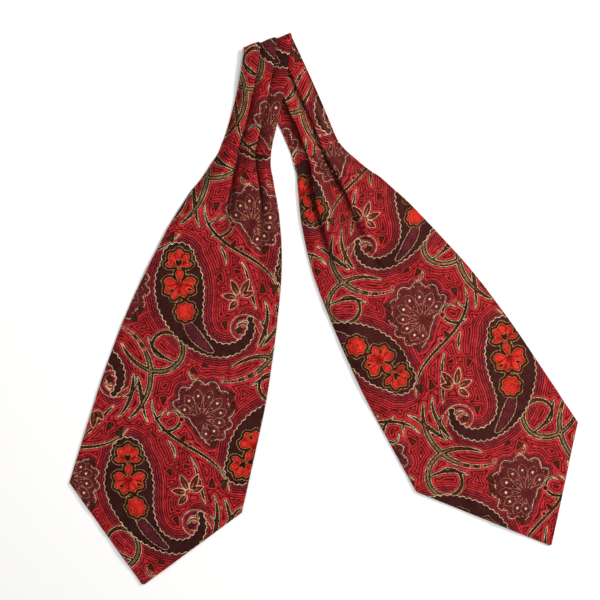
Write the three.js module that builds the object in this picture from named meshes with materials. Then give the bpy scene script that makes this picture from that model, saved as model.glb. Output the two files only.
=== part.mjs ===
// A silk day cravat laid flat: two pointed blades, each a face panel on a back panel, and between
// them a pleated neckband that is folded over at the nape.
// Millimetres. +Z is up off the table, +Y runs towards the nape, the table top is z = 0 and the
// origin lies under the middle of the outline.
import * as THREE from "three";

// Cloth
const WALL = 1.0; // thickness of one cloth wall
const CLEARANCE = 0.35; // air between the layers of a pleat
const SEAM_GAP = 0.3; // between pieces that are sewn together
const LAYER = WALL + CLEARANCE;

// Knife pleats of the neck: two folds that face the inner edge of each half
const PLEATS = 2;
const NECK_CLOTH = 70; // width of the neck cloth before it is pleated
const PLEAT_RISE = 2 * LAYER; // a closed pleat is a strip on a return layer on the next strip
const CLOSED = 180; // degrees that the cloth turns at a closed pleat
const FLAT_SHARE = 0.12; // share of a strip that stays down before it rises over the next pleat
const LEAST_RUN = 0.1; // shortest return layer

// Fold at the nape
const NAPE = { x: -54.4, y: 260.3 }; // middle of the folded edge
const NAPE_TILT = 15.6; // degrees of the folded edge to +X
const NAPE_HALF = 24.1; // half the length of the folded edge
const NAPE_INNER_RADIUS = 0.2;
const NAPE_RADIUS = NAPE_INNER_RADIUS + PLEAT_RISE + WALL;
const NAPE_LIFT = NAPE_RADIUS + NAPE_INNER_RADIUS; // the upper stretch over the table at the fold
const NAPE_STEPS = 6;

// Cut of one half, from the end of the neckband to the shoulders of the point. The outer and inner
// edge are given from the axis of the blade. Lift is the height of the face over the table. First
// and second are the places of the two pleat folds, as shares of the width from the outer edge;
// rise is the height of the folds and turn how far they are still closed. No rise is flat cloth.
const BLADE_CUT = [
  { along: 0, outer: 22.6, inner: 24.4, lift: 0, first: 0.34, second: 0.68, rise: PLEAT_RISE, turn: 180 },
  { along: 10, outer: 24.2, inner: 28.4, lift: 0.4, first: 0.355, second: 0.71, rise: 3, turn: 180 },
  { along: 20, outer: 27.4, inner: 33.4, lift: 1.3, first: 0.37, second: 0.74, rise: 3.6, turn: 180 },
  { along: 30, outer: 30.9, inner: 37.8, lift: 1.3, first: 0.385, second: 0.765, rise: 4.2, turn: 150 },
  { along: 40, outer: 34.9, inner: 42.4, lift: 1.3, first: 0.405, second: 0.78, rise: 4.4, turn: 115 },
  { along: 50, outer: 40.0, inner: 46.8, lift: 1.3, first: 0.425, second: 0.79, rise: 4.2, turn: 90 },
  { along: 62, outer: 44.0, inner: 51.2, lift: 1.3, first: 0.445, second: 0.795, rise: 3.6, turn: 68 },
  { along: 84, outer: 51.2, inner: 58.4, lift: 1.3, first: 0.47, second: 0.805, rise: 2.6, turn: 46 },
  { along: 108, outer: 57.0, inner: 64.4, lift: 1.3, first: 0.485, second: 0.815, rise: 1.6, turn: 28 },
  { along: 136, outer: 63.4, inner: 69.4, lift: 1.3, first: 0.5, second: 0.83, rise: 0.7, turn: 14 },
  { along: 165, outer: 69.3, inner: 73.5, lift: 1.3, rise: 0 },
  { along: 194, outer: 73.6, inner: 77.0, lift: 1.3, rise: 0 },
  { along: 242, outer: 78.4, inner: 81.4, lift: 1.3, rise: 0 },
  { along: 291, outer: 81.2, inner: 83.2, lift: 1.3, rise: 0 },
  { along: 345, outer: 84.0, inner: 84.8, lift: 1.3, rise: 0 },
];
const SHOULDER = BLADE_CUT[BLADE_CUT.length - 1];
const BACK_FROM_ROW = 3; // the back panel starts where the pleats let go
const TIP_HALF = 1.0; // half the width of the blunt end of the point
const POINT_STEPS = 3; // sections from the shoulders to the tip

// How each half lies. Joint is where its neckband ends; tilt is the angle of the blade's axis to
// -Y; hand is +1 where the inner edge lies towards +X; bow is how far the band curves inwards.
const LEFT = {
  hand: 1,
  joint: { x: -76.1, y: 153.7 },
  tilt: 14.4,
  bow: 2.7,
  outerShoulder: 354.5,
  innerShoulder: 341,
  tip: { along: 432.3, inward: 9.4 },
};
const RIGHT = {
  hand: -1,
  joint: { x: -5.4, y: 151.3 },
  tilt: 30.6,
  bow: -1,
  outerShoulder: 353.5,
  innerShoulder: 332,
  tip: { along: 442.5, inward: -0.9 },
};

// Height of the two edges of a neckband over the table, from its blade (0) to the nape (1). The
// left stretch climbs on to the right one and leans down beside it, and near the nape its inner
// strip comes up level with the others: edge is the share of the pleats' rise that it takes.
const LEFT_BAND_LIFT = [
  { at: 0, outer: 0, inner: 0, edge: 0 },
  { at: 0.12, outer: 0, inner: 0.9, edge: 0 },
  { at: 0.24, outer: 0.4, inner: 2.2, edge: 0 },
  { at: 0.36, outer: 0.8, inner: 3.4, edge: 0 },
  { at: 0.47, outer: 1.4, inner: 4.2, edge: 0 },
  { at: 0.58, outer: 2.4, inner: 4.5, edge: 0.1 },
  { at: 0.7, outer: 3.2, inner: 4.6, edge: 0.3 },
  { at: 0.85, outer: 3.9, inner: 4.4, edge: 0.7 },
  { at: 1, outer: NAPE_LIFT, inner: NAPE_LIFT, edge: 1 },
];
const RIGHT_BAND_LIFT = [
  { at: 0, outer: 0, inner: 0, edge: 0 },
  { at: 0.25, outer: 0, inner: 0, edge: 0 },
  { at: 0.5, outer: 0, inner: 0, edge: 0 },
  { at: 0.75, outer: 0, inner: 0, edge: 0 },
  { at: 1, outer: 0, inner: 0, edge: 0 },
];

const BEND_STEPS = 4; // straight pieces in each turn of a pleat
const STRIP_POINTS = 5;
const LAST_STRIP_POINTS = 4;
const LINE_POINTS = 1 + PLEATS * (STRIP_POINTS + 2 * BEND_STEPS + 1) + LAST_STRIP_POINTS;

const UP = new THREE.Vector3(0, 0, 1);
const radians = THREE.MathUtils.degToRad;

// Length of the return layer of a closed pleat that takes in the spare cloth of a neck so wide.
function returnRun(width) {
  const underlap = (NECK_CLOTH - width) / (2 * PLEATS);
  return Math.max(LEAST_RUN, underlap - LAYER);
}

// Carries a line on through a bend of the given radius, turning from one heading to another.
function addBend(line, radius, from, to) {
  const start = line[line.length - 1];
  const side = Math.sign(to - from);
  const centre = new THREE.Vector2(
    start.x - side * radius * Math.sin(from),
    start.y + side * radius * Math.cos(from),
  );
  for (let step = 1; step <= BEND_STEPS; step += 1) {
    const heading = from + ((to - from) * step) / BEND_STEPS;
    line.push(new THREE.Vector2(
      centre.x + side * radius * Math.sin(heading),
      centre.y - side * radius * Math.cos(heading),
    ));
  }
}

// Middle line of the cloth across one section, from the outer edge (x = 0) to the inner edge:
// x is measured across, y is the height over the base of the section. The last strip stays down
// or rises at its edge by a share of the pleats' rise.
function pleatedLine(width, { first, second, rise, turn, edge = 0 }) {
  const base = WALL / 2;
  if (rise === 0) {
    return Array.from({ length: LINE_POINTS }, (_, i) => (
      new THREE.Vector2((width * i) / (LINE_POINTS - 1), base)
    ));
  }
  const angle = radians(turn);
  const run = turn === CLOSED ? returnRun(width) : LEAST_RUN;
  const bend = (rise - run * Math.sin(angle)) / (2 * (1 - Math.cos(angle)));
  const reach = bend * Math.sin(Math.min(angle, Math.PI / 2));
  const underlap = turn === CLOSED ? run + 2 * bend : reach;
  const line = [new THREE.Vector2(0, base)];
  const addRise = (from, to, height, count) => {
    for (let i = 0; i < count; i += 1) {
      const share = i / (count - 1);
      const x = THREE.MathUtils.lerp(from, to, share);
      line.push(new THREE.Vector2(x, base + height * THREE.MathUtils.smoothstep(share, 0, 1)));
    }
  };
  let start = 0;
  let clear = 0;
  [first, second].forEach((share) => {
    const fold = share * width;
    const down = start + clear + FLAT_SHARE * (fold - start);
    addRise(down, fold - underlap - CLEARANCE, rise, STRIP_POINTS - 1);
    line.push(new THREE.Vector2(fold - reach, base + rise));
    addBend(line, bend, 0, -angle);
    const turned = line[line.length - 1];
    line.push(new THREE.Vector2(turned.x + run * Math.cos(angle), turned.y - run * Math.sin(angle)));
    addBend(line, bend, -angle, 0);
    start = fold;
    clear = reach;
  });
  addRise(start + clear + FLAT_SHARE * (width - start), width, rise * edge, LAST_STRIP_POINTS);
  return line;
}

// Closed outline of the cloth wall about a middle line: its upper side, then its lower side back.
function wallOutline(line) {
  const upper = [];
  const lower = [];
  line.forEach((point, i) => {
    const before = line[Math.max(i - 1, 0)];
    const after = line[Math.min(i + 1, line.length - 1)];
    const into = point.clone().sub(before).normalize();
    const out = after.clone().sub(point).normalize();
    const along = into.add(out).normalize();
    const normal = new THREE.Vector2(-along.y, along.x).multiplyScalar(WALL / 2);
    upper.push(point.clone().add(normal));
    lower.push(point.clone().sub(normal));
  });
  return [...upper, ...lower.reverse()];
}

// One ring of a cloth piece: its section stood between the points of its outer and inner edge.
function sectionRing(outer, inner, pleats, up = UP) {
  const across = inner.clone().sub(outer);
  const width = across.length();
  across.normalize();
  return wallOutline(pleatedLine(width, pleats)).map((p) => (
    outer.clone().addScaledVector(across, p.x).addScaledVector(up, p.y)
  ));
}

// Closed solid through rings of one size.
function loft(rings) {
  const size = rings[0].length;
  const half = size / 2;
  const points = rings.flat();
  const faces = [];
  for (let r = 0; r + 1 < rings.length; r += 1) {
    for (let i = 0; i < size; i += 1) {
      const a = r * size + i;
      const b = r * size + ((i + 1) % size);
      faces.push([a, b, b + size], [a, b + size, a + size]);
    }
  }
  const end = (rings.length - 1) * size;
  for (let i = 0; i + 1 < half; i += 1) {
    const j = size - 1 - i;
    faces.push([i, j, j - 1], [i, j - 1, i + 1]);
    faces.push([end + i, end + i + 1, end + j - 1], [end + i, end + j - 1, end + j]);
  }
  const volume = faces.reduce((sum, [a, b, c]) => (
    sum + points[a].dot(points[b].clone().cross(points[c]))
  ), 0);
  const outward = volume > 0 ? faces : faces.map(([a, b, c]) => [a, c, b]);
  const geometry = new THREE.BufferGeometry().setFromPoints(points);
  geometry.setIndex(outward.flat());
  geometry.computeVertexNormals();
  return geometry;
}

// Point of a half's plan, measured along the axis of its blade and inwards from that axis.
function planPoint(half, along, inward, z) {
  const tilt = radians(half.tilt);
  return new THREE.Vector3(
    half.joint.x - half.hand * Math.sin(tilt) * along + half.hand * Math.cos(tilt) * inward,
    half.joint.y - Math.cos(tilt) * along - Math.sin(tilt) * inward,
    z,
  );
}

// The two edges of a blade at a row of its cut, drawn in by an inset.
function bladeEdges(half, row, inset = 0) {
  const outerAlong = (row.along * half.outerShoulder) / SHOULDER.along;
  const innerAlong = (row.along * half.innerShoulder) / SHOULDER.along;
  return {
    outer: planPoint(half, outerAlong, inset - row.outer, row.lift),
    inner: planPoint(half, innerAlong, row.inner - inset, row.lift),
  };
}

// The two sides of the blunt tip of a blade.
function tipEdges(half, inset = 0) {
  const along = half.tip.along - inset;
  return {
    outer: planPoint(half, along, half.tip.inward - TIP_HALF, SHOULDER.lift),
    inner: planPoint(half, along, half.tip.inward + TIP_HALF, SHOULDER.lift),
  };
}

function bladeFace(half) {
  const rings = BLADE_CUT.map((row) => {
    const { outer, inner } = bladeEdges(half, row);
    return sectionRing(outer, inner, row);
  });
  const shoulder = bladeEdges(half, SHOULDER);
  const tip = tipEdges(half);
  for (let step = 1; step <= POINT_STEPS; step += 1) {
    const share = step / POINT_STEPS;
    const outer = shoulder.outer.clone().lerp(tip.outer, share);
    const inner = shoulder.inner.clone().lerp(tip.inner, share);
    rings.push(sectionRing(outer, inner, SHOULDER));
  }
  return loft(rings);
}

function bladeBack(half) {
  const rows = BLADE_CUT.slice(BACK_FROM_ROW).map((row) => bladeEdges(half, row, SEAM_GAP));
  rows.push(tipEdges(half, SEAM_GAP));
  const outline = [
    ...rows.map((row) => row.outer),
    ...rows.map((row) => row.inner).reverse(),
  ].map((p) => new THREE.Vector2(p.x, p.y));
  const shape = new THREE.Shape(outline);
  return new THREE.ExtrudeGeometry(shape, { depth: WALL, bevelEnabled: false });
}

// Directions of the fold at the nape: along its edge, and outwards over it.
const napeAlong = new THREE.Vector3(Math.cos(radians(NAPE_TILT)), Math.sin(radians(NAPE_TILT)), 0);
const napeOut = new THREE.Vector3(-napeAlong.y, napeAlong.x, 0);

// End of the line about which the neckband is folded, on the outer (-1) or inner (+1) side.
function napePoint(half, side, z) {
  return new THREE.Vector3(NAPE.x, NAPE.y, z)
    .addScaledVector(napeOut, -NAPE_RADIUS)
    .addScaledVector(napeAlong, side * half.hand * NAPE_HALF);
}

// Rings of a flat stretch of neckband, from its blade to the nape.
function bandRings(half, lifts, startGap, endGap) {
  const joint = bladeEdges(half, BLADE_CUT[0]);
  const inwards = joint.inner.clone().sub(joint.outer).normalize();
  const back = planPoint(half, -startGap, 0, 0).sub(planPoint(half, 0, 0, 0));
  return lifts.map(({ at, outer, inner, edge }) => {
    const side = (from, to, z) => {
      const start = from.clone().add(back);
      const stop = to.clone().addScaledVector(napeOut, -endGap);
      const point = start.lerp(stop, at).addScaledVector(inwards, 4 * half.bow * at * (1 - at));
      return point.setZ(z);
    };
    return sectionRing(
      side(joint.outer, napePoint(half, -1, 0), outer),
      side(joint.inner, napePoint(half, 1, 0), inner),
      { ...BLADE_CUT[0], edge },
    );
  });
}

// The left stretch goes on over the fold and ends face down under itself.
function leftNeckband() {
  const rings = bandRings(LEFT, LEFT_BAND_LIFT, SEAM_GAP, 0);
  for (let step = 1; step <= NAPE_STEPS; step += 1) {
    const angle = (Math.PI * step) / NAPE_STEPS;
    const up = UP.clone().multiplyScalar(Math.cos(angle)).addScaledVector(napeOut, Math.sin(angle));
    const foot = (side) => napePoint(LEFT, side, NAPE_RADIUS).addScaledVector(up, NAPE_INNER_RADIUS);
    rings.push(sectionRing(foot(-1), foot(1), { ...BLADE_CUT[0], edge: 1 }, up));
  }
  return loft(rings);
}

function rightNeckband() {
  return loft(bandRings(RIGHT, RIGHT_BAND_LIFT, SEAM_GAP, SEAM_GAP));
}

const FACE_SILK = { color: 0x8c2a28, roughness: 0.5 };
const BACK_SILK = { color: 0x6f2022, roughness: 0.6 };
const BAND_SILK = { color: 0x9a3430, roughness: 0.5 };

const cravat = new THREE.Group();
cravat.name = "cravat";

function addPiece(name, geometry, silk) {
  const piece = new THREE.Mesh(geometry, new THREE.MeshStandardMaterial(silk));
  piece.name = name;
  cravat.add(piece);
}

addPiece("left_blade_face", bladeFace(LEFT), FACE_SILK);
addPiece("left_blade_back", bladeBack(LEFT), BACK_SILK);
addPiece("left_neckband", leftNeckband(), BAND_SILK);
addPiece("right_blade_face", bladeFace(RIGHT), FACE_SILK);
addPiece("right_blade_back", bladeBack(RIGHT), BACK_SILK);
addPiece("right_neckband", rightNeckband(), BAND_SILK);

export default cravat;
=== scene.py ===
"""Silk cravat laid flat and folded over at the nape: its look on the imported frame.

The tables are in millimetres. The meshes and the scene are in metres.
"""

import logging
import math
from dataclasses import dataclass, field
from enum import Enum
from typing import Any

import bmesh
import bpy
import numpy as np
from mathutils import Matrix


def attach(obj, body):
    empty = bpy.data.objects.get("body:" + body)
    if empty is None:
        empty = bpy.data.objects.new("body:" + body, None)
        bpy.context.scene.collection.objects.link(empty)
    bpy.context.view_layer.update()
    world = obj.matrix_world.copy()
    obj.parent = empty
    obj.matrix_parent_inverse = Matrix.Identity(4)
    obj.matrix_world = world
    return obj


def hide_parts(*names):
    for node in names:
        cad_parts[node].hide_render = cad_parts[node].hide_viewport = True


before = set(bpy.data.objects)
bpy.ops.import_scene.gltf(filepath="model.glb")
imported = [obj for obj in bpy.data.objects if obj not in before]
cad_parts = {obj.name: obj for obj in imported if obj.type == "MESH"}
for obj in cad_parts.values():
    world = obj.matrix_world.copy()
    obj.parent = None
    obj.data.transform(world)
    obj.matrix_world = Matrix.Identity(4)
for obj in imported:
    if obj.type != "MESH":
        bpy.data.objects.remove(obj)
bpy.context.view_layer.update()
LOG = logging.getLogger("cravat")
Array = np.ndarray
MM = 0.001

# Cloth and its pleats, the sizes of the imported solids
SILK = 0.5  # thickness of one drawn layer of self-lined silk
LAYER = 1.35
NECK_CLOTH = 70.0
CLEARANCE = 0.35
FLAT_SHARE = 0.12
LEAST_RUN = 0.1
NAPE = (-54.4, 260.3)
NAPE_TILT = 15.6
NAPE_HALF = 24.1
NAPE_RADIUS = 3.9
NAPE_INNER_RADIUS = 0.2
TIP_HALF = 1.0
JOINT_ROUNDING = (8.0, 20.0)  # how far from the joint its outer and inner edge are rounded
BACK_START = 30.0

# Cut of one half: along, outer, inner, lift, first fold, second fold, rise, turn
BLADE_CUT = np.array([
    (0, 22.6, 24.4, 0.0, 0.34, 0.68, 2.7, 180),
    (10, 24.2, 28.4, 0.4, 0.355, 0.71, 3.0, 180),
    (20, 27.4, 33.4, 1.3, 0.37, 0.74, 3.6, 180),
    (30, 30.9, 37.8, 1.3, 0.385, 0.765, 4.2, 150),
    (40, 34.9, 42.4, 1.3, 0.405, 0.78, 4.4, 115),
    (50, 40.0, 46.8, 1.3, 0.425, 0.79, 4.2, 90),
    (62, 44.0, 51.2, 1.3, 0.445, 0.795, 3.6, 68),
    (84, 51.2, 58.4, 1.3, 0.47, 0.805, 2.6, 46),
    (108, 57.0, 64.4, 1.3, 0.485, 0.815, 1.6, 28),
    (136, 63.4, 69.4, 1.3, 0.5, 0.83, 0.7, 14),
    (165, 69.3, 73.5, 1.3, 0.5, 0.83, 0.0, 14),
    (194, 73.6, 77.0, 1.3, 0.5, 0.83, 0.0, 14),
    (242, 78.4, 81.4, 1.3, 0.5, 0.83, 0.0, 14),
    (291, 81.2, 83.2, 1.3, 0.5, 0.83, 0.0, 14),
    (345, 84.0, 84.8, 1.3, 0.5, 0.83, 0.0, 14),
])
SHOULDER = 345.0

# Height of the band's edges on the way to the nape: share, outer, inner, rise of the inner strip
UPPER_BAND_LIFT = np.array([
    (0, 0, 0, 0), (0.12, 0, 0.9, 0), (0.24, 0.4, 2.2, 0), (0.36, 0.8, 3.4, 0), (0.47, 1.4, 4.2, 0),
    (0.58, 2.4, 4.5, 0.1), (0.7, 3.2, 4.6, 0.3), (0.85, 3.9, 4.4, 0.7), (1, 4.1, 4.1, 1),
])
LOWER_BAND_LIFT = np.array([(0, 0, 0, 0), (0.5, 0, 0, 0), (1, 0, 0, 0)], dtype=float)

# Small waves of the laid silk: wave length, heading to the blade, height, start
CRUMPLE = ((31, 68, 0.16, 0.4), (43, 104, 0.2, 1.9), (23, 38, 0.09, 2.6), (58, 81, 0.22, 4.1),
           (17, 122, 0.06, 5.2))

# Columns of the meshes: over the three strips, over each fold, and close steps at the two edges
STRIP_COLUMNS = (34, 28, 26)
FOLD_COLUMNS = 14
EDGE_STEPS = np.array([0.0, 0.2, 0.5, 0.9])
EDGE_ROLL = 1.4
FACE_ROWS, POINT_ROWS = 296, 84
BAND_ROWS, TURN_ROWS = 116, 36


def ease(share: Array) -> Array:
    """Smooth step from 0 to 1."""
    share = np.clip(share, 0.0, 1.0)
    return share * share * (3.0 - 2.0 * share)


def read_table(rows: Array, at: Array) -> Array:
    """Read a table smoothly between its rows, without overshoot.

    Args:
        rows: table whose first column rises.
        at: places in the first column.

    Returns:
        The other columns, one row for each place.
    """
    x, y = rows[:, 0], rows[:, 1:]
    span = np.diff(x)
    secant = np.diff(y, axis=0) / span[:, None]
    product = secant[:-1] * secant[1:]
    total = np.where(product > 0, secant[:-1] + secant[1:], 1.0)
    inner = np.where(product > 0, 2.0 * product / total, 0.0)
    slope = np.vstack([secant[:1], inner, secant[-1:]])
    k = np.clip(np.searchsorted(x, at, side="right") - 1, 0, len(x) - 2)
    h = span[k][:, None]
    t = ((at - x[k]) / span[k])[:, None]
    return ((1 + 2 * t) * (1 - t) ** 2 * y[k] + t * (1 - t) ** 2 * h * slope[k]
            + t * t * (3 - 2 * t) * y[k + 1] + t * t * (t - 1) * h * slope[k + 1])


class Motif(Enum):
    """Figures woven into the silk; each is an attribute that holds the distance to it in mm."""

    BODY = "drop_body"
    FLOWER = "flower"
    HEART = "flower_heart"
    VEIN = "flower_vein"
    BUD = "bud"
    STEM = "stem"
    SCROLL = "scroll"
    BEAD = "bead"
    FAN = "fan"
    PETAL = "fan_petal"
    SEED = "fan_seed"
    DOT = "fan_dot"
    LEAF = "leaf"
    RIB = "leaf_rib"
    WEDGE = "wedge"
    GROUND = "ground"


class Figure:
    """Outlines of the woven figures, in mm, x to the right and y down the blade."""

    @staticmethod
    def curve(knots: Array, count: int) -> Array:
        """Smooth line through knots.

        Args:
            knots: rows of numbers.
            count: rows wanted.

        Returns:
            Rows spread evenly over the knots.
        """
        knots = np.asarray(knots, dtype=float)
        padded = np.vstack([2 * knots[0] - knots[1], knots, 2 * knots[-1] - knots[-2]])
        at = np.linspace(0, len(knots) - 1, count)
        k = np.minimum(at.astype(int), len(knots) - 2)
        t = (at - k)[:, None]
        a, b, c, d = padded[k], padded[k + 1], padded[k + 2], padded[k + 3]
        return 0.5 * (2 * b + (c - a) * t + (2 * a - 5 * b + 4 * c - d) * t ** 2
                      + (3 * b - a - 3 * c + d) * t ** 3)

    @staticmethod
    def vine(x: float, y: float, heading: float, length: float, bend: float, curl: float,
             half: float) -> Array:
        """Run of a vine whose bend grows steadily along it.

        Args:
            x, y, heading: start and the way it sets out, in degrees, 90 is down the blade.
            length: its length.
            bend, curl: degrees that it turns along its length, evenly and more and more.
            half: half width at its widest.

        Returns:
            Rows of x, y and half width.
        """
        share = np.linspace(0, 1, 33)
        turn = np.radians(heading + bend * share + curl * share ** 2)
        ahead = np.column_stack([np.cos(turn), np.sin(turn)])
        steps = (ahead[1:] + ahead[:-1]) / 2 * length / 32
        spot = np.array([x, y]) + np.vstack([[0, 0], np.cumsum(steps, axis=0)])
        return np.column_stack([spot, half * (0.3 + 0.7 * np.sin(math.pi * share ** 0.8))])

    @classmethod
    def stroke(cls, knots: Array, count: int = 48) -> Array:
        """Outline of a tapering stroke.

        Args:
            knots: rows of x, y and half width.
            count: sections of the stroke.

        Returns:
            Closed outline, with round ends.
        """
        line = cls.curve(knots, count)
        spot, half = line[:, :2], np.maximum(line[:, 2], 0.2)
        heading = np.gradient(spot, axis=0)
        heading /= np.linalg.norm(heading, axis=1)[:, None]
        side = np.column_stack([-heading[:, 1], heading[:, 0]])
        turn = np.linspace(0, math.pi, 13)[1:-1, None]
        tail = spot[-1] + half[-1] * (np.cos(turn) * side[-1] + np.sin(turn) * heading[-1])
        head = spot[0] - half[0] * (np.cos(turn) * side[0] + np.sin(turn) * heading[0])
        return np.vstack([spot + half[:, None] * side, tail,
                          (spot - half[:, None] * side)[::-1], head])

    @staticmethod
    def scallop(outline: Array, pitch: float, depth: float) -> Array:
        """Give an outline small round bays.

        Args:
            outline: closed outline.
            pitch: length of a bay.
            depth: how far a bay stands out.

        Returns:
            The finer outline.
        """
        ring = np.vstack([outline, outline[:1]])
        reach = np.concatenate([[0], np.cumsum(np.linalg.norm(np.diff(ring, axis=0), axis=1))])
        bays = max(3, round(reach[-1] / pitch))
        at = np.linspace(0, reach[-1], bays * 8, endpoint=False)
        fine = np.column_stack([np.interp(at, reach, ring[:, i]) for i in range(2)])
        heading = np.roll(fine, -2, axis=0) - np.roll(fine, 2, axis=0)
        heading /= np.maximum(np.linalg.norm(heading, axis=1), 1e-6)[:, None]
        out = np.column_stack([heading[:, 1], -heading[:, 0]])
        x, y = fine.T
        area = np.sum(x * np.roll(y, -1) - y * np.roll(x, -1))
        bulge = depth * np.abs(np.sin(math.pi * np.arange(len(fine)) / 8.0))
        return fine + math.copysign(1.0, area) * bulge[:, None] * out

    @staticmethod
    def leaf(x: float, y: float, heading: float, length: float, half: float, swell: float = 0.85) -> Array:
        """Outline of a pointed leaf.

        Args:
            x, y: foot of the leaf.
            heading: degrees, 90 is down the blade.
            length, half: its length and half width.
            swell: over 1 for a leaf that is widest towards its end.

        Returns:
            Closed outline.
        """
        angle = math.radians(heading)
        ahead = np.array([math.cos(angle), math.sin(angle)])
        side = np.array([-ahead[1], ahead[0]])
        share = np.linspace(0, 1, 13)
        wide = half * np.sin(math.pi * share ** swell) ** 0.9
        spine = np.array([x, y]) + length * share[:, None] * ahead
        return np.vstack([spine + wide[:, None] * side, (spine - wide[:, None] * side)[-2:0:-1]])

    @staticmethod
    def rosette(x: float, y: float, radius: float, lobes: int = 1, depth: float = 0.0) -> Array:
        """Outline of a disc, or of a round flower with lobes.

        Args:
            x, y, radius: its middle and size.
            lobes, depth: petals round it and how far they stand out.

        Returns:
            Closed outline.
        """
        angle = np.linspace(0, 2 * math.pi, 12 + 6 * lobes, endpoint=False)
        reach = radius + depth * (np.abs(np.cos(lobes * angle / 2)) - 0.5) * 2
        return np.array([x, y]) + reach[:, None] * np.column_stack([np.cos(angle), np.sin(angle)])


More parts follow.
